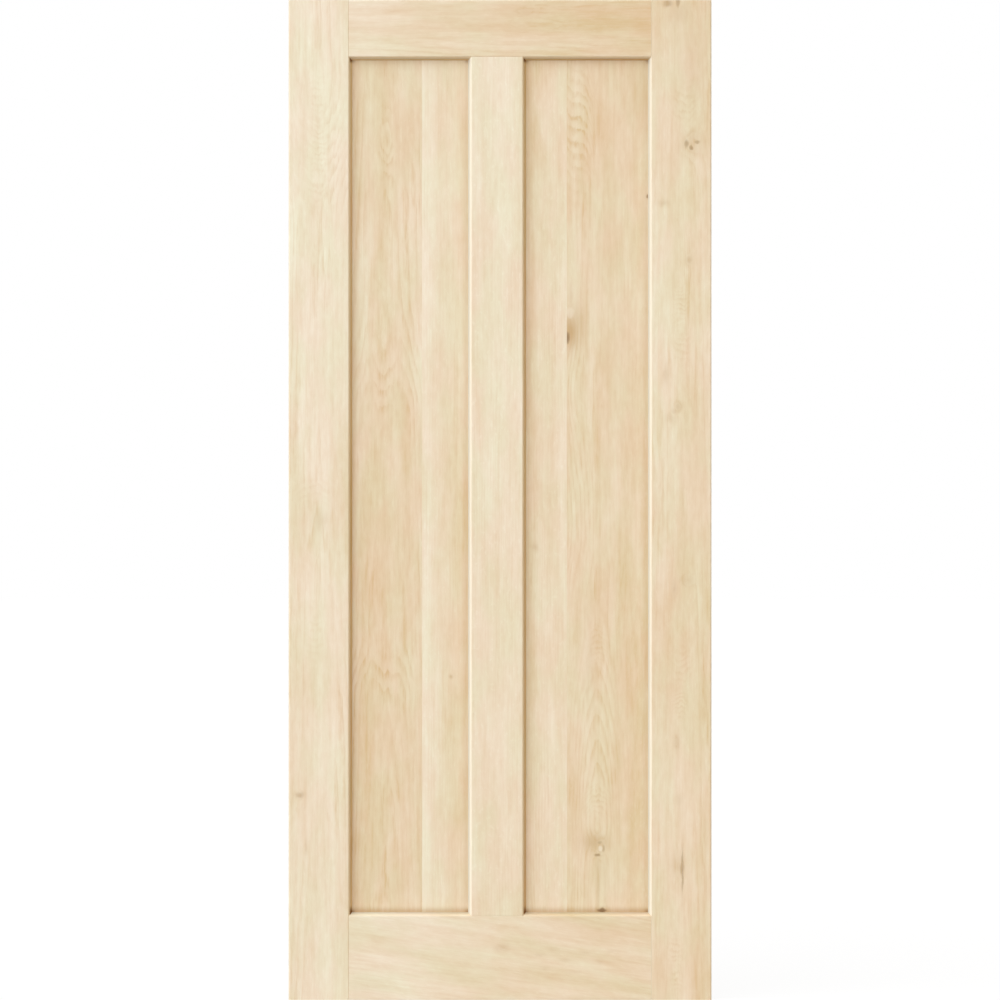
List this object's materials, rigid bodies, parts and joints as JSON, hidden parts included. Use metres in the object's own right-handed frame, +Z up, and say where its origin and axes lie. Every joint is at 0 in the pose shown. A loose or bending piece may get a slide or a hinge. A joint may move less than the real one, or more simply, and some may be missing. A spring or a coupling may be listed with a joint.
{
  "type": "two-panel door leaf",
  "caption": "Pale oak door leaf: full-height stiles, top and bottom rails and a mullion with bevelled inner edges, framed round tall flat recessed panels, to hang on its hinge edge.",
  "frame": {"origin": "on the hinge edge of the leaf, at its bottom end and half-way through its thickness", "axes": "+X across the leaf from the hinge edge to the lock edge, +Z up, and -Y out of the front face"},
  "size_m": [0.838, 0.035, 1.981],
  "materials": {
    "stile_oak": "matte",
    "rail_oak": "matte",
    "mullion_oak": "matte",
    "panel_oak": "matte"
  },
  "bodies": {
    "root": {"left_stile": "stile_oak", "right_stile": "stile_oak", "top_rail": "rail_oak", "bottom_rail": "rail_oak", "mullion": "mullion_oak", "left_panel": "panel_oak", "right_panel": "panel_oak"}
  },
  "joints": []
}
